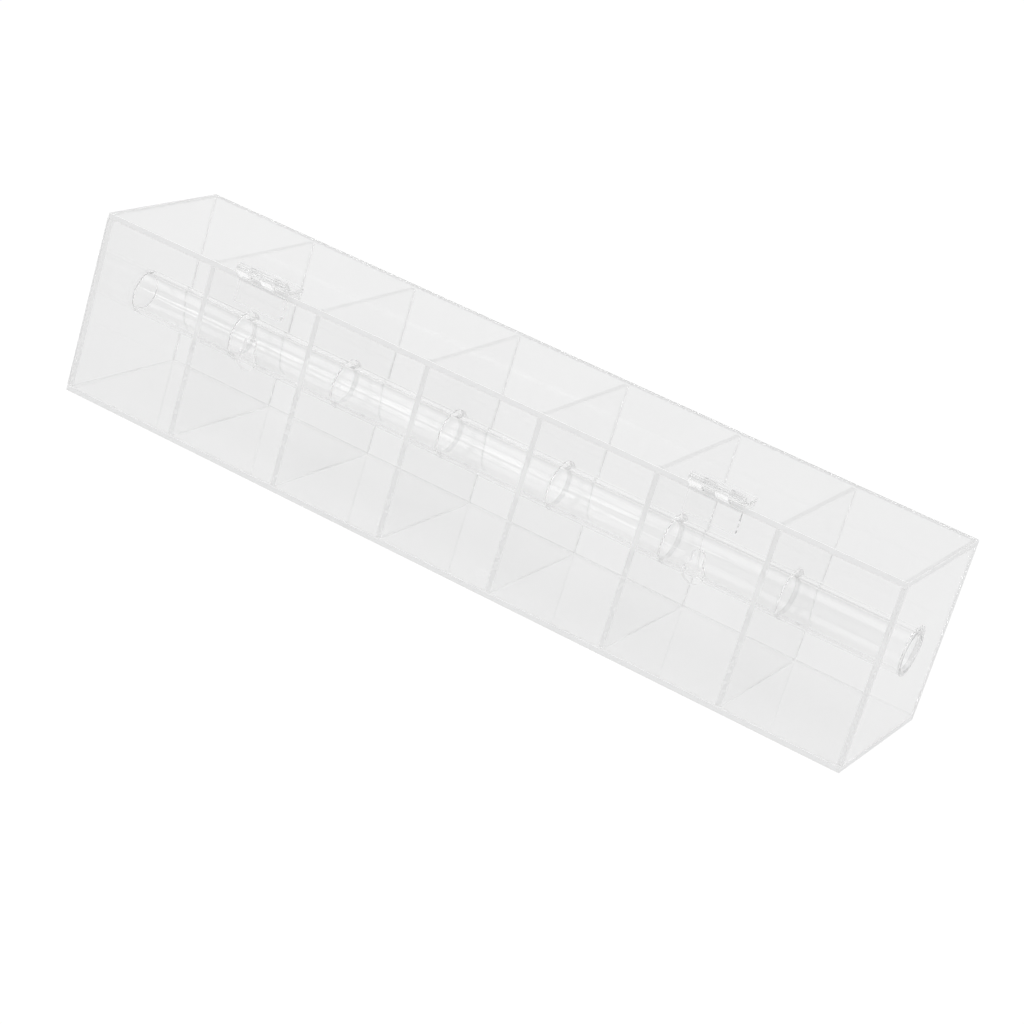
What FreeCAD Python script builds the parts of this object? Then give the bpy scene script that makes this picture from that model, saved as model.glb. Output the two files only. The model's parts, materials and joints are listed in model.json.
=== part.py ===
"""Clear acrylic dispenser for seven rolls of stickers, in millimetres.

A long box of plates cut from one sheet is cemented together, and six partitions divide it into
seven equal compartments. A tube runs through all of them and carries the rolls. It lies loose in
its holes, stops at the closed end and is drawn out through the bored end. The lid turns on two
small moulded hinges at the back, and two keyholes in the back wall hang the box on screws.

The origin is the middle of the underside. +Z is up, +X points to the closed end and +Y to the
back, where the hinges are.
"""
import FreeCAD
import Part
import math
import os
import Sketcher
from FreeCAD import Placement, Rotation, Vector

# Driving dimensions
SIZES = {
    "box_length": 480.0,  # outside, along X
    "box_depth": 102.0,  # outside, front to back
    "box_height": 104.0,  # underside of the base to the top of the lid
    "plate_thickness": 3.0,  # one sheet for every plate of the box
    "compartments": 7,  # equal spaces along the box
    "partition_gap": 0.5,  # partitions stop this far below the lid
    "lid_back_gap": 0.3,  # between the lid's back edge and the hinges' wall leaves
    "edge_bevel": 0.4,  # broken edges of the base, the lid and the tube
    "tube_diameter": 25.4,  # outside
    "tube_wall": 2.5,
    "tube_slack": 2.6,  # how much wider its holes are than the tube
    "tube_lift": 0.1,  # gap under the tube where it lies in its holes
    "tube_end_gap": 0.5,  # between the tube and the closed end
    "tube_hole_height": 54.0,  # underside of the base to the middle of the holes
    "keyhole_head_diameter": 12.0,
    "keyhole_head_height": 61.5,  # underside of the base to the middle of the head
    "keyhole_rise": 9.0,  # middle of the head to the middle of the slot's arch
    "keyhole_slot_width": 7.0,
    "hinge_length": 30.0,
    "hinge_reach": 14.5,  # from the box's back top edge to a leaf's free edge
    "hinge_setback": 1.5,  # from that edge of the box to where a leaf starts
    "leaf_thickness": 2.0,
    "leaf_corner_radius": 1.0,
    "axis_offset": 5.0,  # the pin's axis stands this far off the lid and off the back wall
    "knuckle_diameter": 5.0,
    "knuckle_gap": 0.3,
    "pin_diameter": 2.0,
    "pin_press": 0.04,  # how much narrower the wall leaf's bore is than the pin
    "pin_play": 0.1,  # how much wider the lid leaf's bore is than the pin
}
KNUCKLES = 4  # on one hinge, taken in turn by its two leaves
OWN_KNUCKLES = (0, 2)  # the ones on each leaf, counted from the leaf's own +X end
HINGED_COMPARTMENT = 2  # counted from either end; it has the hinge and the keyhole

# Sizes that follow from the driving ones
INSIDE_DEPTH = "(sizes.box_depth - 2 * sizes.plate_thickness)"
INSIDE_HEIGHT = "(sizes.box_height - 2 * sizes.plate_thickness)"
PITCH = "((sizes.box_length - sizes.plate_thickness) / sizes.compartments)"
HINGE_X = f"((sizes.compartments + 1 - 2 * {HINGED_COMPARTMENT}) / 2 * {PITCH})"
TUBE_HOLE = "(sizes.tube_diameter + sizes.tube_slack)"
TUBE_AXIS_HEIGHT = "(sizes.tube_hole_height - sizes.tube_slack / 2 + sizes.tube_lift)"
TUBE_LENGTH = "(sizes.box_length - sizes.plate_thickness - sizes.tube_end_gap)"
LEAF_WIDTH = "(sizes.hinge_reach - sizes.hinge_setback)"
AXIS_UP_THE_LEAF = "(sizes.hinge_reach + sizes.axis_offset)"
KNUCKLE_LENGTH = f"((sizes.hinge_length - {KNUCKLES - 1} * sizes.knuckle_gap) / {KNUCKLES})"

# Sketcher's numbers for the origin and the vertical axis, and for the points of an edge
ORIGIN = -1
VERTICAL_AXIS = -2
START, END, CENTRE = range(1, 4)

FIRST_DRAWN = 4.0  # what a new outline measures until its constraints set the real size
TOUCHING = 1e-6  # lengths that differ by less count as the same

doc = FreeCAD.newDocument("sticker_roll_dispenser")
sheet = doc.addObject("Spreadsheet::Sheet", "sizes")
for row, (alias, size) in enumerate(SIZES.items(), start=1):
    sheet.set(f"A{row}", alias)
    sheet.set(f"B{row}", str(size))
    sheet.setAlias(f"B{row}", alias)
doc.recompute()


def new_body(name):
    """An empty body whose label is the piece's name."""
    body = doc.addObject("PartDesign::Body", name)
    body.Label = name
    return body


def bind(thing, **expressions):
    """Ties properties to the sheet; two underscores in a keyword stand for a dot."""
    for path, expression in expressions.items():
        thing.setExpression(path.replace("__", "."), expression)


def new_sketch(body, name, role):
    """A sketch on one of the body's own origin planes."""
    plane = next(feature for feature in body.Origin.OriginFeatures if feature.Role == role)
    sketch = body.newObject("Sketcher::SketchObject", f"{body.Name}_{name}")
    sketch.AttachmentSupport = [(plane, "")]
    sketch.MapMode = "FlatFace"
    return sketch


def constrain(sketch, *parts, name=None, expression=None):
    """Adds one constraint, and ties its size to the sheet when it has one."""
    number = sketch.addConstraint(Sketcher.Constraint(*parts))
    if name:
        sketch.renameConstraint(number, name)
        sketch.setExpression(f"Constraints.{name}", expression)


def draw_rectangle(sketch, width, height, bottom=None):
    """A rectangle centred on the vertical axis; centred on the origin too if it has no bottom."""
    half = FIRST_DRAWN / 2
    low = -half if bottom is None else FIRST_DRAWN
    high = low + FIRST_DRAWN
    corners = [
        Vector(-half, low, 0),
        Vector(half, low, 0),
        Vector(half, high, 0),
        Vector(-half, high, 0),
    ]
    sides = []
    for start, end in zip(corners, corners[1:] + corners[:1]):
        sides.append(sketch.addGeometry(Part.LineSegment(start, end)))
    for side, following in zip(sides, sides[1:] + sides[:1]):
        constrain(sketch, "Coincident", side, END, following, START)
    foot, right, head, left = sides
    constrain(sketch, "Horizontal", head)
    for upright in (left, right):
        constrain(sketch, "Vertical", upright)
    datums = [
        ("DistanceX", foot, "width", width),
        ("DistanceY", right, "height", height),
    ]
    for kind, side, name, expression in datums:
        constrain(
            sketch, kind, side, START, side, END, FIRST_DRAWN, name=name, expression=expression
        )
    if bottom is None:
        constrain(sketch, "Horizontal", foot)
        constrain(sketch, "Symmetric", foot, START, right, END, ORIGIN, START)
        return
    constrain(sketch, "Symmetric", foot, START, foot, END, VERTICAL_AXIS)
    constrain(
        sketch, "DistanceY", ORIGIN, START, foot, START, low, name="bottom", expression=bottom
    )


def draw_circle(sketch, name, diameter, across=None, up=None):
    """A circle on the origin, up the vertical axis from it, or both across and up."""
    middle = Vector(FIRST_DRAWN if across else 0, FIRST_DRAWN if up else 0, 0)
    circle = sketch.addGeometry(Part.Circle(middle, Vector(0, 0, 1), FIRST_DRAWN / 2))
    constrain(sketch, "Diameter", circle, FIRST_DRAWN, name=name, expression=diameter)
    if across:
        constrain(
            sketch, "DistanceX", ORIGIN, START, circle, CENTRE, FIRST_DRAWN,
            name=f"{name}_across", expression=across,
        )
    if up:
        constrain(
            sketch, "DistanceY", ORIGIN, START, circle, CENTRE, FIRST_DRAWN,
            name=f"{name}_up", expression=up,
        )
    if not across and up:
        constrain(sketch, "PointOnObject", circle, CENTRE, VERTICAL_AXIS)
    if not across and not up:
        constrain(sketch, "Coincident", circle, CENTRE, ORIGIN, START)


def pad(body, sketch, length, both_ways=True, turned=False):
    """Thickens a sketch, evenly to both sides of its plane or to one."""
    feature = body.newObject("PartDesign::Pad", f"{sketch.Name}_pad")
    feature.Profile = sketch
    feature.SideType = "Symmetric" if both_ways else "One side"
    feature.Reversed = turned
    bind(feature, Length=length)
    sketch.Visibility = False
    return feature


def cut_through(body, sketch):
    """Cuts a sketch through the whole body and makes sure that it took something away."""
    doc.recompute()
    before = body.Shape.Volume
    feature = body.newObject("PartDesign::Pocket", f"{sketch.Name}_cut")
    feature.Profile = sketch
    feature.Type = "ThroughAll"
    feature.SideType = "Symmetric"
    sketch.Visibility = False
    doc.recompute()
    if body.Shape.Volume >= before:
        raise RuntimeError(f"{feature.Name} cuts nothing")


def break_edges(body, direction, place, kind="Chamfer", along=None, **size):
    """Bevels or rounds the edges at one place along a direction, or only those along another."""
    doc.recompute()
    edges = []
    for number, edge in enumerate(body.Shape.Edges, start=1):
        in_place = all(
            math.isclose(corner.Point.dot(direction), place, abs_tol=TOUCHING)
            for corner in edge.Vertexes
        )
        if in_place and (along is None or edge.Curve.Direction.isParallel(along, TOUCHING)):
            edges.append(f"Edge{number}")
    base = body.Tip
    feature = body.newObject(f"PartDesign::{kind}", f"{base.Name}_{kind.lower()}")
    feature.Base = (base, edges)
    bind(feature, **size)


# The box


def make_lying_plate(name, depth, top):
    """Base or lid: a plate that covers the whole length, with one face's edges broken."""
    body = new_body(name)
    outline = new_sketch(body, "outline", "XY_Plane")
    draw_rectangle(outline, "sizes.box_length", depth)
    pad(body, outline, "sizes.plate_thickness", both_ways=False)
    outer_face = sheet.plate_thickness if top else 0.0
    break_edges(body, Vector(0, 0, 1), outer_face, Size="sizes.edge_bevel")
    return body


def make_wall(name, side):
    """Front or back wall: as long as the box, between the base and the lid."""
    body = new_body(name)
    outline = new_sketch(body, "outline", "XZ_Plane")
    draw_rectangle(outline, "sizes.box_length", INSIDE_HEIGHT, bottom="sizes.plate_thickness")
    pad(body, outline, "sizes.plate_thickness")
    bind(body, Placement__Base__y=f"{side} * (sizes.box_depth - sizes.plate_thickness) / 2")
    return body


def cut_keyholes(wall):
    """Two keyholes: a round head that a screw's head passes, and a slot that rises from it."""
    for number, side in ((1, 1), (2, -1)):
        place = f"{side} * {HINGE_X}"
        head = new_sketch(wall, f"head_{number}", "XZ_Plane")
        draw_circle(head, "head", "sizes.keyhole_head_diameter", up="sizes.keyhole_head_height")
        slot = new_sketch(wall, f"slot_{number}", "XZ_Plane")
        draw_rectangle(
            slot, "sizes.keyhole_slot_width", "sizes.keyhole_rise", "sizes.keyhole_head_height"
        )
        arch = new_sketch(wall, f"arch_{number}", "XZ_Plane")
        arch_height = "sizes.keyhole_head_height + sizes.keyhole_rise"
        draw_circle(arch, "arch", "sizes.keyhole_slot_width", up=arch_height)
        for sketch in (head, slot, arch):
            bind(sketch, AttachmentOffset__Base__x=place)
            cut_through(wall, sketch)


def make_cross_plate(name, place, gap="0", bored=True):
    """End plate or partition: it fits between the two walls, with a hole for the tube."""
    body = new_body(name)
    outline = new_sketch(body, "outline", "YZ_Plane")
    draw_rectangle(
        outline, INSIDE_DEPTH, f"{INSIDE_HEIGHT} - {gap}", bottom="sizes.plate_thickness"
    )
    pad(body, outline, "sizes.plate_thickness")
    if bored:
        hole = new_sketch(body, "tube_hole", "YZ_Plane")
        draw_circle(hole, "hole", TUBE_HOLE, up="sizes.tube_hole_height")
        cut_through(body, hole)
    bind(body, Placement__Base__x=place)
    return body


def make_box():
    """The fixed plates, from the base up."""
    make_lying_plate("base_plate", "sizes.box_depth", top=False)
    make_wall("front_wall", side=-1)
    cut_keyholes(make_wall("back_wall", side=1))
    end = f"{PITCH} * sizes.compartments / 2"
    make_cross_plate("end_plate_closed", end, bored=False)
    make_cross_plate("end_plate_bored", f"-{end}")
    count = int(sheet.compartments)
    for number in range(1, count):
        place = f"{PITCH} * (sizes.compartments / 2 - {number})"
        make_cross_plate(f"partition_{number}", place, gap="sizes.partition_gap")


def make_lid():
    """The lid plate, which lies on the walls and the end plates."""
    lid = make_lying_plate("lid_plate", "sizes.box_depth - sizes.lid_back_gap", top=True)
    bind(
        lid,
        Placement__Base__y="-sizes.lid_back_gap / 2",
        Placement__Base__z="sizes.box_height - sizes.plate_thickness",
    )


# The tube and the pins


def make_round_bar(name, diameter, length, bore=None):
    """A round bar or tube along X, centred on its own origin."""
    body = new_body(name)
    section = new_sketch(body, "section", "YZ_Plane")
    draw_circle(section, "outside", diameter)
    if bore:
        draw_circle(section, "bore", bore)
    pad(body, section, length)
    return body


def make_roll_tube():
    """The tube, low in its holes and flush with the outer face of the bored end."""
    bore = "sizes.tube_diameter - 2 * sizes.tube_wall"
    tube = make_round_bar("roll_tube", "sizes.tube_diameter", TUBE_LENGTH, bore)
    doc.recompute()
    ends = (-tube.Shape.BoundBox.XMax, tube.Shape.BoundBox.XMax)
    for end in ends:
        break_edges(tube, Vector(1, 0, 0), end, Size="sizes.edge_bevel")
    bind(
        tube,
        Placement__Base__x="-(sizes.plate_thickness + sizes.tube_end_gap) / 2",
        Placement__Base__z=TUBE_AXIS_HEIGHT,
    )


# The hinges


def tangent_point(point, middle, radius, turn):
    """Where a line from a point touches a circle.

    As seen from the circle's middle, the touch lies to the left of the point (turn 1) or to its
    right (turn -1), by the angle whose cosine is the radius over the distance.
    """
    away = point - middle
    heading = math.atan2(away.y, away.x) + turn * math.acos(radius / away.Length)
    return middle + Vector(radius * math.cos(heading), radius * math.sin(heading), 0)


def draw_knuckle(sketch):
    """A knuckle's section: a round end and two flanks that meet the leaf, tangent to the round."""
    radius = sheet.knuckle_diameter / 2
    leaf_end = sheet.hinge_reach - sheet.hinge_setback
    middle = Vector(sheet.axis_offset, sheet.hinge_reach + sheet.axis_offset, 0)
    inner_foot = Vector(0, leaf_end, 0)
    outer_foot = Vector(sheet.leaf_thickness, leaf_end, 0)
    inner_touch = tangent_point(inner_foot, middle, radius, -1)
    outer_touch = tangent_point(outer_foot, middle, radius, 1)
    first = math.atan2(outer_touch.y - middle.y, outer_touch.x - middle.x)
    last = math.atan2(inner_touch.y - middle.y, inner_touch.x - middle.x)
    circle = Part.Circle(middle, Vector(0, 0, 1), radius)
    foot = sketch.addGeometry(Part.LineSegment(inner_foot, outer_foot))
    outer = sketch.addGeometry(Part.LineSegment(outer_foot, outer_touch))
    round_end = sketch.addGeometry(Part.ArcOfCircle(circle, first, last))
    inner = sketch.addGeometry(Part.LineSegment(inner_touch, inner_foot))
    constrain(sketch, "Coincident", foot, END, outer, START)
    constrain(sketch, "Tangent", outer, END, round_end, START)
    constrain(sketch, "Tangent", round_end, END, inner, START)
    constrain(sketch, "Coincident", inner, END, foot, START)
    constrain(sketch, "Horizontal", foot)
    constrain(sketch, "PointOnObject", foot, START, VERTICAL_AXIS)
    datums = [
        ("DistanceX", foot, START, foot, END, "thickness", "sizes.leaf_thickness"),
        ("DistanceY", ORIGIN, START, foot, START, "leaf_end", LEAF_WIDTH),
        ("DistanceX", ORIGIN, START, round_end, CENTRE, "axis_out", "sizes.axis_offset"),
        ("DistanceY", ORIGIN, START, round_end, CENTRE, "axis_up", AXIS_UP_THE_LEAF),
    ]
    for kind, one, one_point, other, other_point, name, expression in datums:
        start = sketch.getPoint(one, one_point)
        step = sketch.getPoint(other, other_point) - start
        size = step.x if kind == "DistanceX" else step.y
        constrain(
            sketch, kind, one, one_point, other, other_point, size,
            name=name, expression=expression,
        )
    constrain(
        sketch, "Diameter", round_end, 2 * radius,
        name="round", expression="sizes.knuckle_diameter",
    )


def make_leaf(name, bore):
    """One hinge leaf, from its free edge up: its mounting face is the plane Y = 0."""
    body = new_body(name)
    outline = new_sketch(body, "outline", "XZ_Plane")
    draw_rectangle(outline, "sizes.hinge_length", LEAF_WIDTH, bottom="0")
    pad(body, outline, "sizes.leaf_thickness", both_ways=False, turned=True)
    break_edges(
        body, Vector(0, 0, 1), 0.0, "Fillet", Vector(0, 1, 0), Radius="sizes.leaf_corner_radius"
    )
    for number in OWN_KNUCKLES:
        section = new_sketch(body, f"knuckle_{number}", "YZ_Plane")
        draw_knuckle(section)
        step = f"{number} * ({KNUCKLE_LENGTH} + sizes.knuckle_gap)"
        place = f"sizes.hinge_length / 2 - {KNUCKLE_LENGTH} / 2 - {step}"
        bind(section, AttachmentOffset__Base__z=place)
        pad(body, section, KNUCKLE_LENGTH)
    hole = new_sketch(body, "pin_hole", "YZ_Plane")
    draw_circle(hole, "bore", bore, across="sizes.axis_offset", up=AXIS_UP_THE_LEAF)
    cut_through(body, hole)
    return body


def make_hinge(number, side):
    """A wall leaf, a lid leaf and a pin at the box's back top edge.

    The leaves are the same moulding: the lid leaf is the wall leaf turned half round about the
    line that halves the corner, so that its knuckles fall between the other's.
    """
    place = f"{side} * {HINGE_X}"
    wall_leaf = make_leaf(f"hinge_{number}_wall_leaf", "sizes.pin_diameter - sizes.pin_press")
    bind(
        wall_leaf,
        Placement__Base__x=place,
        Placement__Base__y="sizes.box_depth / 2",
        Placement__Base__z="sizes.box_height - sizes.hinge_reach",
    )
    lid_leaf = make_leaf(f"hinge_{number}_lid_leaf", "sizes.pin_diameter + sizes.pin_play")
    lid_leaf.Placement = Placement(Vector(), Rotation(Vector(0, 1, 1), 180))
    bind(
        lid_leaf,
        Placement__Base__x=place,
        Placement__Base__y="sizes.box_depth / 2 - sizes.hinge_reach",
        Placement__Base__z="sizes.box_height",
    )
    pin = make_round_bar(f"hinge_{number}_pin", "sizes.pin_diameter", "sizes.hinge_length")
    bind(
        pin,
        Placement__Base__x=place,
        Placement__Base__y="sizes.box_depth / 2 + sizes.axis_offset",
        Placement__Base__z="sizes.box_height + sizes.axis_offset",
    )


def check_document():
    """Stops if a feature failed or a piece isn't one valid solid."""
    for thing in doc.Objects:
        if "Invalid" in thing.State or "Error" in thing.State:
            raise RuntimeError(f"{thing.Name} is {thing.State}")
    for body in doc.findObjects("PartDesign::Body"):
        shape = body.Shape
        if shape.isNull() or not shape.isValid() or len(shape.Solids) != 1:
            raise RuntimeError(f"{body.Label} isn't one valid solid")


def write_pieces():
    """Writes each piece to its own file and prints its size."""
    os.makedirs("parts", exist_ok=True)
    for body in doc.findObjects("PartDesign::Body"):
        body.Shape.exportStep(f"parts/{body.Label}.step")
        box = body.Shape.BoundBox
        low = f"{box.XMin:.2f} {box.YMin:.2f} {box.ZMin:.2f}"
        high = f"{box.XMax:.2f} {box.YMax:.2f} {box.ZMax:.2f}"
        print(f"{body.Label}: {body.Shape.Volume:.1f} mm3, from {low} to {high}")


make_box()
make_lid()
make_roll_tube()
make_hinge(1, side=1)
make_hinge(2, side=-1)
doc.recompute()
check_document()
write_pieces()
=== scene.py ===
# %% [markdown]
# Clear acrylic sticker roll dispenser
#
# The real object is a long box of clear acrylic plates, cemented together, with six partitions, a
# hinged lid and one clear tube that carries the rolls. It has no colour of its own: all that can
# be seen is how it bends, mirrors and slightly dims the pale room around it. So this lesson is
# about glass-like pieces: real thickness, softened edges, joints that let light through, and a
# plain studio that is worth mirroring.
#
# The measured model is loaded first. It is the frame that every piece below is built to.

# %% Load the measured model
import json
import math

import bmesh
import bpy
import numpy as np
from mathutils import Matrix, Vector

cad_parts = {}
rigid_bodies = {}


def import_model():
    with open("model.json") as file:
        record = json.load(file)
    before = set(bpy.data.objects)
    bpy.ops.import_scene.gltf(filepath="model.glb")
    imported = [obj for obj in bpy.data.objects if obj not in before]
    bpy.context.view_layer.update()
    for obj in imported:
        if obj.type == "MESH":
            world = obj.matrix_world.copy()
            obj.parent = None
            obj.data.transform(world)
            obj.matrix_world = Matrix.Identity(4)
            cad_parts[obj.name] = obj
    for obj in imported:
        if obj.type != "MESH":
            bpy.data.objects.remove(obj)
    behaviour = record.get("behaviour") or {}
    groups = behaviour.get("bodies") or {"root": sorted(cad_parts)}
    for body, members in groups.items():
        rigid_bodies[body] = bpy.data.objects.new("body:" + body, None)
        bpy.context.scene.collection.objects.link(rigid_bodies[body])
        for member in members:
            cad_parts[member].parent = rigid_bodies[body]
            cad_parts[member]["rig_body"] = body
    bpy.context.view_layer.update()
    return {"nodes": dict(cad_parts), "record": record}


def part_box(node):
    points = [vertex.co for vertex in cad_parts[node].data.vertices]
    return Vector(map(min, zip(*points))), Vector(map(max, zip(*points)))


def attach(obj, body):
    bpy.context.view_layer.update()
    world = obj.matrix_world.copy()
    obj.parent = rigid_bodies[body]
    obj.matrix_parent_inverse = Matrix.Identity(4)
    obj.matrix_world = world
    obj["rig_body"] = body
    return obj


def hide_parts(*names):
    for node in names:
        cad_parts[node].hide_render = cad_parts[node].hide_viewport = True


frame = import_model()
MM = 0.001
SCENE = bpy.context.scene

# %% [markdown]
# Camera
#
# The object is seen from behind and a little above, and the picture is rolled, so the long box
# runs downhill to the right. The place of the camera was worked out from where the box's corners
# lie in the picture, for a long lens. `to_track_quat` aims the camera, and one more turn about
# its own line of sight rolls it.

# %% Place the camera
EYE = Vector((-0.5617, 1.2805, 0.5522))
AIM = Vector((-0.0144, 0.0030, 0.0296))
ROLL = math.radians(17.135)
SENSOR_WIDTH = 36  # this and the focal length are in mm, as on a real camera
FOCAL_LENGTH = 99.54
FARTHEST_SEEN = 100  # m

camera = bpy.data.objects.new("camera", bpy.data.cameras.new("camera"))
SCENE.collection.objects.link(camera)
SCENE.camera = camera
camera.data.sensor_width = SENSOR_WIDTH
camera.data.lens = FOCAL_LENGTH
camera.data.clip_end = FARTHEST_SEEN
camera.rotation_mode = "QUATERNION"
camera.location = EYE
sight = (AIM - EYE).to_track_quat("-Z", "Y")
camera.rotation_quaternion = sight @ Matrix.Rotation(ROLL, 3, "Z").to_quaternion()
print("camera to aim in m:", round((AIM - EYE).length, 3))

# %% [markdown]
# A small language for materials
#
# Blender's materials are graphs of nodes. Long graphs are easier to read as arithmetic, so one
# small class stands for the output of a node: `mask * 0.2 + 0.1` on it adds the two Math nodes.
# Every other node comes from `add`, which takes the node's type, its settings and what goes into
# its sockets.


# %% Node arithmetic
class Wire:
    """The output of a node; arithmetic on it adds Math nodes to the same material."""

    def __init__(self, tree, socket):
        self.tree = tree
        self.socket = socket

    def math(self, operation, *others):
        return add(self.tree, "ShaderNodeMath", {"operation": operation}, dict(enumerate(others)))

    def __add__(self, other):
        return self.math("ADD", self, other)

    def __mul__(self, other):
        return self.math("MULTIPLY", self, other)

    def __sub__(self, other):
        return self.math("SUBTRACT", self, other)

    def __rsub__(self, other):
        return self.math("SUBTRACT", other, self)

    def __lt__(self, other):
        return self.math("LESS_THAN", self, other)

    def __gt__(self, other):
        return self.math("GREATER_THAN", self, other)

    def __abs__(self):
        return self.math("ABSOLUTE", self)

    def fraction(self):
        """What is left above the next lower whole number."""
        return self.math("FRACT", self)

    def either(self, other):
        """The larger of two masks, so what either of them holds."""
        return self.math("MAXIMUM", self, other)

    __radd__ = __add__
    __rmul__ = __mul__


def add(tree, kind, settings=None, values=None, output=0):
    """Adds one node, sets it up, feeds its sockets and returns one of its outputs."""
    node = tree.nodes.new(kind)
    for name, setting in (settings or {}).items():
        setattr(node, name, setting)
    for place, value in (values or {}).items():
        if isinstance(value, Wire):
            tree.links.new(value.socket, node.inputs[place])
        else:
            node.inputs[place].default_value = value
    return Wire(tree, node.outputs[output]) if node.outputs else None


def new_tree(owner):
    """An empty graph on a material or a world."""
    owner.use_nodes = True
    owner.node_tree.nodes.clear()
    return owner.node_tree


def ray(tree, *kinds):
    """1 where the ray is of one of these kinds, and otherwise 0."""
    found = [add(tree, "ShaderNodeLightPath", output=f"Is {kind} Ray") for kind in kinds]
    total = found[0]
    for one in found[1:]:
        total = total.either(one)
    return total


print("shader helpers are ready")

# %% [markdown]
# Floor and sky
#
# Clear acrylic shows nothing but its surroundings, so these are simple and pale: a floor as wide
# as the eye can see, and a sky that is white at the horizon and dimmer overhead. Camera, mirrored
# and refracted rays see that sky. Matt surfaces get an even share of it instead.
#
# The floor glows by itself to be as white as the sky, and a small diffuse share keeps the object's
# soft shadow. In or through a clear piece it glows a little greyer. That is painted shade: it
# stands for the box's broad shadow on the floor, so the inside of the box stands out from the white
# around it.

# %% Floor and sky
WHITE = (1, 1, 1, 1)
BACKGROUND = 1.0  # the white that the camera sees, and that clear pieces show and mirror
CEILING = 0.5  # what it fades to high overhead
FADE_START = 0.1  # the height of a direction where the fade starts; straight up is 1
FADE_END = 0.9
SKY_LIGHT = 0.64  # the even sky that lights matt surfaces
OPEN_GLOW = 0.96  # the part of the floor's white that no shadow dims, around the object
OPEN_MATT = 0.08  # and how pale its matt share is
INNER_SHADED_GLOW = 0.76  # the same two as seen in and through clear pieces; the lower glow is painted shade of the box on the floor
INNER_MATT = 0.14
FLOOR_HALF = 30.0  # m
FLOOR_DROP = 0.5 * MM

world = bpy.data.worlds.new("studio")
SCENE.world = world
tree = new_tree(world)
direction = add(tree, "ShaderNodeTexCoord", output="Generated")
height = add(tree, "ShaderNodeSeparateXYZ", values={0: direction}, output="Z")
fade = add(
    tree,
    "ShaderNodeMapRange",
    {"interpolation_type": "SMOOTHSTEP"},
    {0: height, 1: FADE_START, 2: FADE_END, 3: BACKGROUND, 4: CEILING},
)
seen = ray(tree, "Camera", "Glossy", "Transmission")
glow = seen * fade + (1 - seen) * SKY_LIGHT
sky = add(tree, "ShaderNodeBackground", values={0: WHITE, 1: glow})
add(tree, "ShaderNodeOutputWorld", values={0: sky})

floor_mesh = bpy.data.meshes.new("floor")
corners = FLOOR_HALF * np.array([(-1, -1, 0), (1, -1, 0), (1, 1, 0), (-1, 1, 0)])
floor_mesh.from_pydata(corners.tolist(), [], [(0, 1, 2, 3)])
floor = bpy.data.objects.new("floor", floor_mesh)
floor.location.z = -FLOOR_DROP
SCENE.collection.objects.link(floor)
floor_paint = bpy.data.materials.new("floor")
tree = new_tree(floor_paint)
seen = ray(tree, "Camera")
parts = []
for glow, matt in ((INNER_SHADED_GLOW, INNER_MATT), (OPEN_GLOW, OPEN_MATT)):
    shine = add(tree, "ShaderNodeEmission", values={0: WHITE, 1: glow})
    paint = add(tree, "ShaderNodeBsdfDiffuse", values={0: (matt, matt, matt, 1)})
    parts.append(add(tree, "ShaderNodeAddShader", values={0: shine, 1: paint}))
ground = add(tree, "ShaderNodeMixShader", values={0: seen, 1: parts[0], 2: parts[1]})
add(tree, "ShaderNodeOutputMaterial", values={0: ground})
floor_mesh.materials.append(floor_paint)
print("white around the object:", OPEN_GLOW, "and through clear pieces:", INNER_SHADED_GLOW)

# %% [markdown]
# Lamps
#
# One large soft lamp hangs above the object. A second one stands upright behind the box, on the
# camera's side. Only rays that come out of clear pieces meet it, and it draws the bright line
# along the tube. It is narrow and starts high up, because the flat plates would mirror a larger
# one as white patches in other views.

# %% Lamps
LAMP_PLACE = (0, 0.2, 1.3)
LAMP_SIZE = (2.0, 1.0)
LAMP_POWER = 7.5  # W
WINDOW_PLACE = (0.925, 1.5, 1.5)
WINDOW_SIZE = (0.65, 1.4)
WINDOW_POWER = 6.5  # W


def area_lamp(name, place, size, power):
    """A rectangular lamp that shines straight down."""
    data = bpy.data.lights.new(name, "AREA")
    data.shape = "RECTANGLE"
    data.size, data.size_y = size
    data.energy = power
    lamp = bpy.data.objects.new(name, data)
    lamp.location = place
    SCENE.collection.objects.link(lamp)
    return lamp


area_lamp("softbox", LAMP_PLACE, LAMP_SIZE, LAMP_POWER)
window = area_lamp("window", WINDOW_PLACE, WINDOW_SIZE, WINDOW_POWER)
window.rotation_euler.x = math.radians(-90)  # upright, and facing the box
window.visible_diffuse = False
window.visible_camera = False
window.visible_glossy = False
SCENE.view_settings.view_transform = "Standard"
print("lamps:", [lamp.name for lamp in bpy.data.lights])
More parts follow.
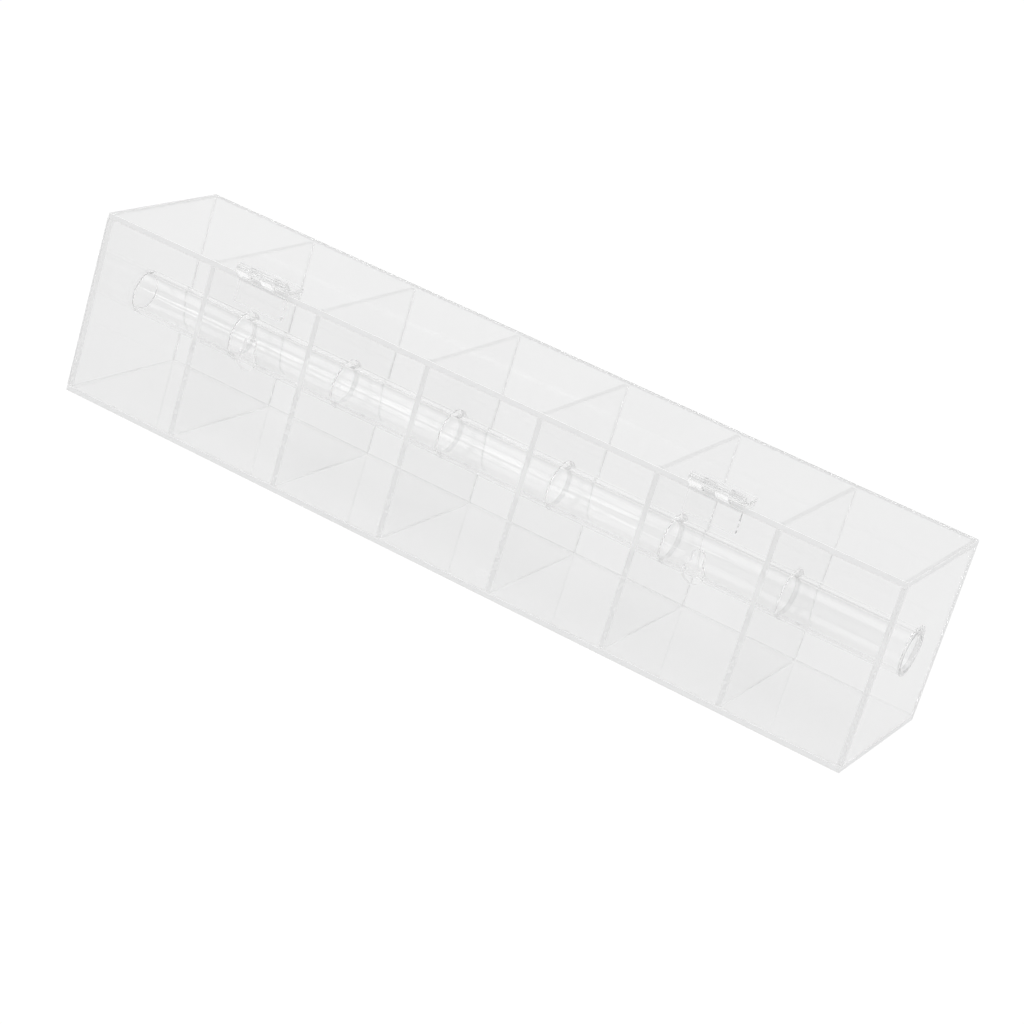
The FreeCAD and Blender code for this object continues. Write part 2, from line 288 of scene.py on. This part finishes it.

# %% [markdown]
# Clear acrylic
#
# Thin clear sheets are often made see-through without bending any light, but then thick edges and
# the tube look empty. The Principled shader with full transmission and acrylic's index of
# refraction, 1.49, bends and mirrors light as the real sheet does. A faint tint, slightly cloudy,
# takes a little light at every surface. Shadow and diffuse rays meet a Transparent shader
# instead, so light reaches the floor through the box. So does light that was bent many times and
# is still caught in a sheet: it would be cut off at the render's limit and leave black joints.
#
# Where two plates are cemented together, the solvent melts them into one, and the surfaces
# between them vanish. The plates here are separate pieces, so their touching faces are given a
# Transparent shader as well, and light passes as through one block. The hinge leaves are bonded
# in the same way. Low down in the wall joints, where the cement didn't run everywhere, small air
# bubbles stay between the plates and half show. A joint is found from its place in the box: where
# a wall, an end plate or a partition stands on the base, and where an end plate or a partition
# meets a wall's inner face.
#
# Cut edges are mostly matt and pale. Edges that look up get a darker colour, which is painted shade
# that cancels the stronger light from above. Drilled rims and the tube's ends are rough and faint.
# Clear surfaces carry a few dust specks, and the tube has fine waves along its length.

# %% Joint places from the frame
BOX_LOW, BOX_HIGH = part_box("base_plate")
PLATE = BOX_HIGH.z
PARTITIONS = sorted(name for name in frame["nodes"] if name.startswith("partition"))
COMPARTMENTS = len(PARTITIONS) + 1
PITCH = (BOX_HIGH.x - BOX_LOW.x - PLATE) / COMPARTMENTS
WALL_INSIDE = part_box("back_wall")[0].y
WALL_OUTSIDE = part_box("back_wall")[1].y
LID_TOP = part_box("lid_plate")[1].z
LEAF_LOW, LEAF_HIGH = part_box("hinge_1_wall_leaf")
LEAF_MIDDLE = (LEAF_LOW.x + LEAF_HIGH.x) / 2
LEAF_HALF = (LEAF_HIGH.x - LEAF_LOW.x) / 2
LEAF_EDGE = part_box("hinge_1_lid_leaf")[0].y
SKIN = 0.02 * MM  # each plate is made this much smaller all round, so no two faces coincide
BOND_REACH = 4 * SKIN
print("pitch in mm:", round(PITCH / MM, 3), "compartments:", COMPARTMENTS)

# %% Acrylic patterns
BUBBLES = (300, 300, 300)  # lumps in a metre along X, Y and Z
BUBBLE_SHOWS = 0.5  # how much of the surface is seen at a bubble
FEW_ABOVE = 75 * MM
MANY_BELOW = 45 * MM
FEW_LEVEL = 0.80  # how high the random value has to be for a bubble
MANY_LEVEL = 0.56
CLOUDS = (14, 14, 14)
CLOUD_DEPTH = 0.03  # the range of the tint over them
SAW_MARKS = (90, 90, 90)
MARK_DEPTH = 0.2  # the range of the matt share over them
STREAKS = (2, 220, 220)  # long along X and fine across it
STREAK_DEPTH = 0.03 * MM
SPECK_SPACING = 30 * MM
SPECK_RADIUS = 0.45 * MM
SPECK_LEVEL = 0.75  # a cell has a speck where its random value is above this


def noise(tree, place, stretch, detail):
    """Soft random values around 0.5; stretch is how many lumps there are in a metre, per axis."""
    spread = add(tree, "ShaderNodeVectorMath", {"operation": "MULTIPLY"}, {0: place, 1: stretch})
    return add(
        tree,
        "ShaderNodeTexNoise",
        {"noise_dimensions": "3D"},
        {"Vector": spread, "Scale": 1.0, "Detail": detail, "Roughness": 0.5},
    )


def cement_mask(tree, place):
    """How far a surface vanishes: 1 at base joints, at wall joints free of bubbles and at leaves.

    The cross plates are the partitions and the end plates. step grows by 1 from each to the next,
    and its fraction is a half at their middles.
    """
    x, y, z = (add(tree, "ShaderNodeSeparateXYZ", values={0: place}, output=axis) for axis in "XYZ")
    step = x * (1 / PITCH) + (0.5 * COMPARTMENTS + 0.5)
    from_plane = abs(step.fraction() - 0.5) * PITCH
    at_cross_plate = from_plane < PLATE / 2 - SKIN
    out = abs(y)
    at_wall = out > WALL_INSIDE + SKIN / 2
    at_base = (abs(z - PLATE) < BOND_REACH) * at_wall.either(at_cross_plate)
    at_wall_face = (abs(out - WALL_INSIDE) < BOND_REACH) * at_cross_plate
    lumps = noise(tree, place, BUBBLES, detail=1.0)
    levels = {0: z, 1: FEW_ABOVE, 2: MANY_BELOW, 3: FEW_LEVEL, 4: MANY_LEVEL}
    bubble = (lumps > add(tree, "ShaderNodeMapRange", values=levels)) * BUBBLE_SHOWS
    along_leaf = abs(abs(x) - LEAF_MIDDLE) < LEAF_HALF
    on_wall = (abs(y - WALL_OUTSIDE) < BOND_REACH) * (z > LEAF_LOW.z)
    on_lid = (abs(z - LID_TOP) < BOND_REACH) * (y > LEAF_EDGE)
    at_leaf = on_wall.either(on_lid) * along_leaf
    return at_base.either(at_wall_face * (1 - bubble)).either(at_leaf)


def dust_specks(tree, place):
    """1 at a few small round specks, at the points of some cells of a Voronoi pattern.

    A cell's colour is random, and how bright it is says whether the cell has a speck.
    """
    cell = {"Vector": place, "Scale": 1 / SPECK_SPACING}
    apart = add(tree, "ShaderNodeTexVoronoi", values=cell, output="Distance")
    brightness = add(tree, "ShaderNodeTexVoronoi", values=cell, output="Color")
    return (apart < SPECK_RADIUS / SPECK_SPACING) * (brightness > SPECK_LEVEL)


print("speck spacing in mm:", round(SPECK_SPACING / MM))

# %% Acrylic materials
ACRYLIC_IOR = 1.49
CLEAR = (1, 1, 1, 1)
SCRAPED = (0.98, 0.98, 0.98, 1)  # edges that were scraped smooth after the saw
SHADED_TOP = (0.80, 0.80, 0.80, 1)  # edges that look up: painted shade, darker to cancel the stronger light from above
DUST = (0.45, 0.45, 0.45, 1)
BOND_MATT = 0.75  # how much of an edge still shows in the cement
LAST_BEND = 12  # light that is still caught in a sheet after so many bends goes straight out


def acrylic(
    name, tint, shade, roughness, bonded=False, matt=0.0, cut=SHADED_TOP, streaks=None, faint=0.0
):
    """A clear material; tint is the share of light that a bend at its surface lets through.

    shade is the same for the rays that go straight on. matt is how much of the surface is worked
    and pale, in the colour cut. bonded says that the surface vanishes at cemented joints, and
    faint how far it vanishes everywhere. streaks is the stretch of fine waves in the surface.
    """
    material = bpy.data.materials.new(name)
    tree = new_tree(material)
    place = add(tree, "ShaderNodeTexCoord", output="Object")
    clouds = noise(tree, place, CLOUDS, detail=2.0)
    values = {
        "Base Color": tint + CLOUD_DEPTH / 2 - clouds * CLOUD_DEPTH,
        "Roughness": roughness,
        "IOR": ACRYLIC_IOR,
        "Transmission Weight": 1.0,
    }
    if streaks:
        wave = noise(tree, place, streaks, detail=1.0)
        bump = {"Strength": 1.0, "Distance": STREAK_DEPTH, "Height": wave}
        values["Normal"] = add(tree, "ShaderNodeBump", values=bump)
    body = add(tree, "ShaderNodeBsdfPrincipled", values=values)
    if matt:
        rough_places = noise(tree, place, SAW_MARKS, detail=2.0)
        marks = rough_places * (MARK_DEPTH * matt) + (1 - MARK_DEPTH / 2) * matt
        worked = add(tree, "ShaderNodeBsdfDiffuse", values={0: cut})
        body = add(tree, "ShaderNodeMixShader", values={0: marks, 1: body, 2: worked})
    else:
        dust = add(tree, "ShaderNodeBsdfDiffuse", values={0: DUST})
        specks = dust_specks(tree, place)
        body = add(tree, "ShaderNodeMixShader", values={0: specks, 1: body, 2: dust})
    passing = add(tree, "ShaderNodeBsdfTransparent", values={0: (shade, shade, shade, 1)})
    caught = add(tree, "ShaderNodeLightPath", output="Ray Depth") > LAST_BEND
    factor = ray(tree, "Shadow", "Diffuse").either(caught)
    lit = add(tree, "ShaderNodeMixShader", values={0: factor, 1: body, 2: passing})
    through = add(tree, "ShaderNodeBsdfTransparent", values={0: CLEAR})
    if bonded:
        mask = cement_mask(tree, place)
        if matt:
            mask = mask * (1 - BOND_MATT)
        lit = add(tree, "ShaderNodeMixShader", values={0: mask, 1: lit, 2: through})
    if faint:
        lit = add(tree, "ShaderNodeMixShader", values={0: faint, 1: lit, 2: through})
    add(tree, "ShaderNodeOutputMaterial", values={0: lit})
    return material


SHEET = acrylic("clear_sheet", tint=0.975, shade=0.985, roughness=0.0, bonded=True)
EDGE = {"tint": 0.96, "shade": 0.96, "roughness": 0.1, "matt": 0.9}
SHEET_EDGE = acrylic("sheet_edge", **EDGE, bonded=True, cut=SCRAPED)
# edges that look up: painted shade, a darker matt colour that cancels the light from above
SHADED_TOP_EDGE = acrylic("sawn_edge", **EDGE, cut=SHADED_TOP)
DRILLED = acrylic("drilled_edge", tint=0.98, shade=0.97, roughness=0.35, faint=0.45)
TUBE = acrylic("tube_acrylic", tint=0.99, shade=0.80, roughness=0.0, streaks=STREAKS)
MOULDING = acrylic("clear_moulding", tint=0.97, shade=0.92, roughness=0.02, bonded=True)
print("materials:", [material.name for material in bpy.data.materials])

# %% [markdown]
# Plates
#
# Each plate is a flat outline with its openings, given a thickness. Boolean cuts could make the
# openings, but they leave thin stray faces beside them. So the two faces of a plate with openings
# are split along a line through the openings, which makes each half one simple polygon that
# Blender fills by itself. A Bevel modifier then softens every edge, as scraping does: a sharp
# edge would catch no light at all.

# %% Mesh helpers
BEVEL_STEPS = 2
SHARP = math.radians(40)  # edges that turn by more than this are softened


def arc(centre, radius, start, end, count):
    """Points on a circle, at equal steps from one angle to another, in radians."""
    angles = np.linspace(start, end, count)
    return np.stack([centre[0] + radius * np.cos(angles), centre[1] + radius * np.sin(angles)], 1)


def build_mesh(name, points, faces, *materials, smooth_below=30):
    """A mesh object at the origin; edges flatter than an angle are shaded smooth."""
    mesh = bpy.data.meshes.new(name)
    mesh.from_pydata(np.asarray(points).tolist(), [], faces)
    mesh.validate()
    mesh.shade_smooth()
    mesh.set_sharp_from_angle(angle=math.radians(smooth_below))
    for material in materials:
        mesh.materials.append(material)
    piece = bpy.data.objects.new(name, mesh)
    SCENE.collection.objects.link(piece)
    face_outwards(piece)
    return piece


def face_outwards(piece):
    """Turns every face of a closed mesh outwards."""
    work = bmesh.new()
    work.from_mesh(piece.data)
    bmesh.ops.recalc_face_normals(work, faces=work.faces)
    work.to_mesh(piece.data)
    work.free()


def face_directions(piece):
    """Where each face looks, as a row of x, y and z."""
    normals = np.zeros(3 * len(piece.data.polygons))
    piece.data.polygons.foreach_get("normal", normals)
    return normals.reshape(-1, 3)


def give_materials(piece, slots):
    """Gives each face the material in its slot."""
    piece.data.polygons.foreach_set("material_index", slots.astype(np.int32))


def bevel(piece, width, slot=-1):
    """Rounds every sharp edge; slot is the material of the round, if it has one of its own."""
    modifier = piece.modifiers.new("softened edges", "BEVEL")
    modifier.width = width
    modifier.segments = BEVEL_STEPS
    modifier.material = slot
    modifier.limit_method = "ANGLE"
    modifier.angle_limit = SHARP
    modifier.harden_normals = True


def stand_in(piece, node):
    """The piece takes a measured node's place and moves with its body."""
    body = frame["nodes"][node]["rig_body"]
    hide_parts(node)
    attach(piece, body)


print("softened are edges that turn by more than", round(math.degrees(SHARP)), "degrees")

# %% Plate builder
NARROW_BEVEL = 0.08 * MM
WIDE_BEVEL = 0.25 * MM
SCRAPED_SLOT, SHADED_TOP_SLOT, DRILLED_SLOT = 1, 2, 3  # the scraped finish, painted shade on edges that look up, and the drilled finish, after the clear one in slot 0


def plate_faces(outline, openings, split):
    """Flat points, loops and faces of a plate.

    outline is (low, high) in the plate's plane; each opening is a pair of chains of points, over
    and under it, which both run from its left end to its right end at the height of the split.
    """
    (left, bottom), (right, top) = outline
    chains = [np.array([(left, split), (left, top), (right, top), (right, split)])]
    chains.append(np.array([(right, bottom), (left, bottom)]))
    for over, under in openings:
        chains.append(over)
        chains.append(under[1:-1])
    points = np.concatenate(chains)
    starts = np.cumsum([0] + [len(chain) for chain in chains])
    spans = [list(range(*pair)) for pair in zip(starts[2:], starts[3:])]
    overs, unders = spans[::2], spans[1::2]
    rim = [0, 1, 2, 3, 4, 5]
    upper = [3, 2, 1, 0]
    lower = [0, 5, 4, 3]
    holes = []
    for over, under in zip(overs, unders):
        upper += over
        holes.append(over + under[::-1])
    for over, under in zip(overs[::-1], unders[::-1]):
        lower += [over[-1]] + under[::-1] + [over[0]]
    if not openings:
        return points[[1, 2, 4, 5]], [0, 1, 2, 3], [], [[3, 2, 1, 0]]
    return points, rim, holes, [upper, lower]


def make_plate(node, openings=(), split=0.0, edge=NARROW_BEVEL):
    """A plate in place of a measured one; its openings are in the plane of its two long sides.

    The sides are clear, the outer rim is scraped and gets painted shade where it looks up, darker
    to cancel the light from above, and the walls of the openings are drilled.
    """
    low, high = (np.array(corner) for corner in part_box(node))
    low = low + SKIN
    high = high - SKIN
    thin = int(np.argmin(high - low))
    across, up = [axis for axis in range(3) if axis != thin]
    outline = ((low[across], low[up]), (high[across], high[up]))
    flat, rim, holes, sides = plate_faces(outline, openings, split)
    count = len(flat)
    points = np.zeros((2 * count, 3))
    points[:, across] = np.tile(flat[:, 0], 2)
    points[:, up] = np.tile(flat[:, 1], 2)
    points[:count, thin] = low[thin]
    points[count:, thin] = high[thin]
    faces = []
    for side in sides:
        faces.append(side)
        faces.append([number + count for number in reversed(side)])
    for loop in [rim] + holes:
        for first, second in zip(loop, loop[1:] + loop[:1]):
            faces.append([first, second, second + count, first + count])
    materials = (SHEET, SHEET_EDGE, SHADED_TOP_EDGE, DRILLED)
    piece = build_mesh(f"{node}_clear", points, faces, *materials)
    # edges that look up get the painted shade colour; the rest of the rim is scraped
    upward = face_directions(piece)[:, 2] > 0.5
    slots = np.where(upward, SHADED_TOP_SLOT, SCRAPED_SLOT)
    slots[: 2 * len(sides)] = 0
    slots[2 * len(sides) + len(rim) :] = DRILLED_SLOT
    give_materials(piece, slots)
    bevel(piece, edge, SCRAPED_SLOT)
    stand_in(piece, node)


print("bevels in mm:", round(NARROW_BEVEL / MM, 2), round(WIDE_BEVEL / MM, 2))

# %% [markdown]
# Holes for the tube and for wall screws
#
# The tube's holes are a little wider than the tube, so that it can be drawn out. A keyhole is a
# round head and a narrower slot with a round top above it.

# %% Opening outlines
TUBE_LOW, TUBE_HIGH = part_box("roll_tube")
TUBE_RADIUS = (TUBE_HIGH.z - TUBE_LOW.z) / 2
TUBE_AXIS = TUBE_LOW.z + TUBE_RADIUS
HOLE_PLAY = 1.3 * MM
HOLE_RISE = 1.2 * MM  # the tube lies low in its holes
HOLE_RADIUS = TUBE_RADIUS + HOLE_PLAY
HOLE_HEIGHT = TUBE_AXIS + HOLE_RISE
wall_mount = next(mount for mount in frame["record"]["mounts"] if mount["name"] == "wall_keyholes")
KEYHOLE_X = wall_mount["dims"]["spacing_x_mm"] * MM / 2
HEAD_RADIUS = wall_mount["dims"]["hole_r_mm"] * MM
HEAD_HEIGHT = wall_mount["pos_m"][2]
KEYHOLE_RISE = 9 * MM
SLOT_HALF = 3.5 * MM
HOLE_POINTS = 73
HEAD_POINTS = 49
CROWN_POINTS = 25
SHOULDER_POINTS = 13


def round_opening():
    """The tube's hole: a half circle over and one under its middle line."""
    centre = (0, HOLE_HEIGHT)
    over = arc(centre, HOLE_RADIUS, math.pi, 0, HOLE_POINTS)
    under = arc(centre, HOLE_RADIUS, -math.pi, 0, HOLE_POINTS)
    return over, under


def keyhole(x):
    """A keyhole: over its middle line, an arc of the head up to each side of the slot and the
    slot's half-round top between them; under it, the lower half of the head.
    """
    centre = (x, HEAD_HEIGHT)
    top = (x, HEAD_HEIGHT + KEYHOLE_RISE)
    mouth = math.acos(SLOT_HALF / HEAD_RADIUS)
    left = arc(centre, HEAD_RADIUS, math.pi, math.pi - mouth, SHOULDER_POINTS)
    crown = arc(top, SLOT_HALF, math.pi, 0, CROWN_POINTS)
    right = arc(centre, HEAD_RADIUS, mouth, 0, SHOULDER_POINTS)
    under = arc(centre, HEAD_RADIUS, -math.pi, 0, HEAD_POINTS)
    return np.concatenate([left, crown, right]), under


print("tube hole radius in mm:", round(HOLE_RADIUS / MM, 2))

# %% Build the plates
for node in ("base_plate", "lid_plate"):
    make_plate(node, edge=WIDE_BEVEL)
make_plate("front_wall")
make_plate("end_plate_closed")
make_plate("back_wall", [keyhole(-KEYHOLE_X), keyhole(KEYHOLE_X)], HEAD_HEIGHT)
for node in ["end_plate_bored"] + PARTITIONS:
    make_plate(node, [round_opening()], HOLE_HEIGHT)

# %% [markdown]
# Tube
#
# The extruded tube could be two cylinders joined at their ends. A profile turned about a line
# makes the wall and the softened ends in one piece. The profile is a closed loop of lengthwise
# place and radius, with small round corners at both ends, and every point of it becomes a ring.
# Smooth shading spreads the corners' slope over the faces next to them. So each long wall has a
# guard ring near each end, which keeps that slope out of the rest of the wall.

# %% Build the tube
TUBE_WALL = 2.5 * MM
TUBE_CORNER = 0.4 * MM
GUARD = 0.5 * MM
CORNER_POINTS = 5
TUBE_AROUND = 480


def corner(x, radius, start, size=TUBE_CORNER):
    """A quarter circle of the profile, whose middle is at x and radius."""
    return arc((x, radius), size, start, start - math.pi / 2, CORNER_POINTS)


def turn(profile, axis, around, closed):
    """A profile of (x, r) turned about X: a point goes to (x, y + r sin a, z + r cos a).

    axis is (y, z). A closed profile joins its last ring to its first; an open one gets two ends.
    """
    angles = np.arange(around) * (2 * math.pi / around)
    x = np.repeat(profile[:, :1], around, 1)
    y = profile[:, 1:] * np.sin(angles) + axis[0]
    z = profile[:, 1:] * np.cos(angles) + axis[1]
    points = np.stack([x, y, z], 2).reshape(-1, 3)
    rings = len(profile) if closed else len(profile) - 1
    row, column = np.meshgrid(np.arange(rings), np.arange(around), indexing="ij")
    next_row = (row + 1) % len(profile)
    next_column = (column + 1) % around
    quads = [
        row * around + column,
        next_row * around + column,
        next_row * around + next_column,
        row * around + next_column,
    ]
    faces = np.stack(quads, 2).reshape(-1, 4).tolist()
    if not closed:
        faces.append(list(range(around)))
        faces.append(list(range(len(points) - around, len(points))))
    return points, faces


def make_tube():
    """Two long walls and four rounded corners; the ends are cut as roughly as a drilled rim."""
    left = TUBE_LOW.x + TUBE_CORNER
    right = TUBE_HIGH.x - TUBE_CORNER
    outer = TUBE_RADIUS - TUBE_CORNER
    bore = TUBE_RADIUS - TUBE_WALL
    profile = np.concatenate(
        [
            corner(left, outer, math.pi),
            [(left + GUARD, TUBE_RADIUS), (right - GUARD, TUBE_RADIUS)],
            corner(right, outer, math.pi / 2),
            corner(right, bore + TUBE_CORNER, 0),
            [(right - GUARD, bore), (left + GUARD, bore)],
            corner(left, bore + TUBE_CORNER, -math.pi / 2),
        ]
    )
    points, faces = turn(profile, (0, TUBE_AXIS), TUBE_AROUND, closed=True)
    piece = build_mesh("roll_tube_clear", points, faces, TUBE, DRILLED, smooth_below=60)
    give_materials(piece, np.abs(face_directions(piece)[:, 0]) > 0.5)
    stand_in(piece, "roll_tube")


make_tube()
print("tube radius in mm:", round(TUBE_RADIUS / MM, 2))

# %% [markdown]
# Hinges
#
# The two leaves of a hinge are small mouldings whose knuckles take turns along a pin. Their
# measured shape is right, but its loose triangles bend light unevenly. So the triangles of a copy
# are joined, the flat ones are merged into whole faces, and the knuckles and bores get more
# points around. Then the edges are softened. The pin is a rod with rounded ends. It is made a
# hair thinner than its bore, so light meets the surfaces in their true order.

# %% Rounder knuckles
SAME = 0.001 * MM  # points nearer than this are one
FLAT = math.radians(0.5)  # faces that meet at less than this are one
LONGEST_CHORD = 0.3  # rad
CHORD_CUTS = 3  # new points on each chord


def merge_triangles(mesh):
    """Points and faces of a mesh, with the triangles of each flat surface merged."""
    work = bmesh.new()
    work.from_mesh(mesh)
    bmesh.ops.remove_doubles(work, verts=work.verts, dist=SAME)
    bmesh.ops.dissolve_limit(work, angle_limit=FLAT, verts=work.verts, edges=work.edges)
    work.verts.index_update()
    points = np.array([vert.co for vert in work.verts])
    faces = [[vert.index for vert in face.verts] for face in work.faces]
    work.free()
    return points, faces


def round_out(points, faces, axis):
    """Puts CHORD_CUTS more points on each chord of a circle about the line (y, z) along X.

    A chord is a short edge with one x and one distance r from the line. Its new points are at
    (x, y + r cos a, z + r sin a), with the angle a in equal steps from one end to the other. A
    face with a chord at each of two opposite sides is one strip of a round wall, and is cut into
    narrower ones. Other faces only get the new points in their outline.
    """
    away = points[:, 1:] - axis
    reach = np.hypot(away[:, 0], away[:, 1])
    angle = np.arctan2(away[:, 1], away[:, 0])
    edges = {tuple(sorted(pair)) for face in faces for pair in zip(face, face[1:] + face[:1])}
    first, second = np.array(sorted(edges)).T
    level = np.abs(points[first, 0] - points[second, 0]) < SAME
    same_circle = np.abs(reach[first] - reach[second]) < SAME
    sweep = (angle[second] - angle[first] + math.pi) % (2 * math.pi) - math.pi
    chord = level & same_circle & (np.abs(sweep) < LONGEST_CHORD)
    first, second, sweep = first[chord], second[chord], sweep[chord]
    share = np.arange(1, CHORD_CUTS + 1) / (CHORD_CUTS + 1)
    turned = angle[first, None] + sweep[:, None] * share
    radius = reach[first, None]
    x = np.repeat(points[first, :1], CHORD_CUTS, 1)
    y = axis[0] + radius * np.cos(turned)
    z = axis[1] + radius * np.sin(turned)
    numbers = np.arange(x.size).reshape(x.shape) + len(points)
    between = dict(zip(zip(first.tolist(), second.tolist()), numbers.tolist()))
    between.update({(b, a): row[::-1] for (a, b), row in between.items()})
    rounder = []
    for face in faces:
        sides = [[a] + between.get((a, b), []) for a, b in zip(face, face[1:] + face[:1])]
        cut = [len(side) > 1 for side in sides]
        if cut in ([True, False] * 2, [False, True] * 2):
            one, other = (place for place in range(4) if cut[place])
            near = sides[one] + [face[one + 1]]
            far = (sides[other] + [face[(other + 1) % 4]])[::-1]
            rounder += [list(four) for four in zip(near, near[1:], far[1:], far)]
        else:
            rounder.append(sum(sides, []))
    return np.concatenate([points, np.stack([x, y, z], 2).reshape(-1, 3)]), rounder


print("each chord of a measured knuckle is cut into:", CHORD_CUTS + 1)

# %% Build the hinges
LEAF_BEVEL = 0.12 * MM
PIN_EASE = 0.05 * MM
PIN_CORNER = 0.15 * MM
PIN_AROUND = 64
PIN_LOW, PIN_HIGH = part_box("hinge_1_pin")
HINGE_AXIS = ((PIN_LOW.y + PIN_HIGH.y) / 2, (PIN_LOW.z + PIN_HIGH.z) / 2)


def smooth_moulding(node):
    """A measured moulding with merged faces, rounder knuckles and softened edges."""
    points, faces = merge_triangles(frame["nodes"][node].data)
    points, faces = round_out(points, faces, HINGE_AXIS)
    piece = build_mesh(f"{node}_clear", points, faces, MOULDING, smooth_below=40)
    bevel(piece, LEAF_BEVEL)
    stand_in(piece, node)


def make_pin(node):
    """An open profile: a small round corner at each end of a straight rod."""
    low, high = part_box(node)
    radius = (high.z - low.z) / 2 - PIN_EASE
    profile = np.concatenate(
        [
            corner(low.x + PIN_CORNER, radius - PIN_CORNER, math.pi, PIN_CORNER),
            corner(high.x - PIN_CORNER, radius - PIN_CORNER, math.pi / 2, PIN_CORNER),
        ]
    )
    points, faces = turn(profile, HINGE_AXIS, PIN_AROUND, closed=False)
    piece = build_mesh(f"{node}_clear", points, faces, MOULDING, smooth_below=60)
    stand_in(piece, node)


for node in sorted(name for name in frame["nodes"] if name.startswith("hinge")):
    if node.endswith("pin"):
        make_pin(node)
    else:
        smooth_moulding(node)
print("hinge axis in mm:", [round(value / MM, 2) for value in HINGE_AXIS])

# %% [markdown]
# Finish
#
# Light needs many bends to come out of clear pieces that lie inside one another, so the limits for
# bends are raised.

# %% Raise the limits for bends
MOST_BENDS = 32
MOST_REFLECTIONS = 16

SCENE.cycles.max_bounces = MOST_BENDS
SCENE.cycles.transmission_bounces = MOST_BENDS
SCENE.cycles.transparent_max_bounces = MOST_BENDS
SCENE.cycles.glossy_bounces = MOST_REFLECTIONS
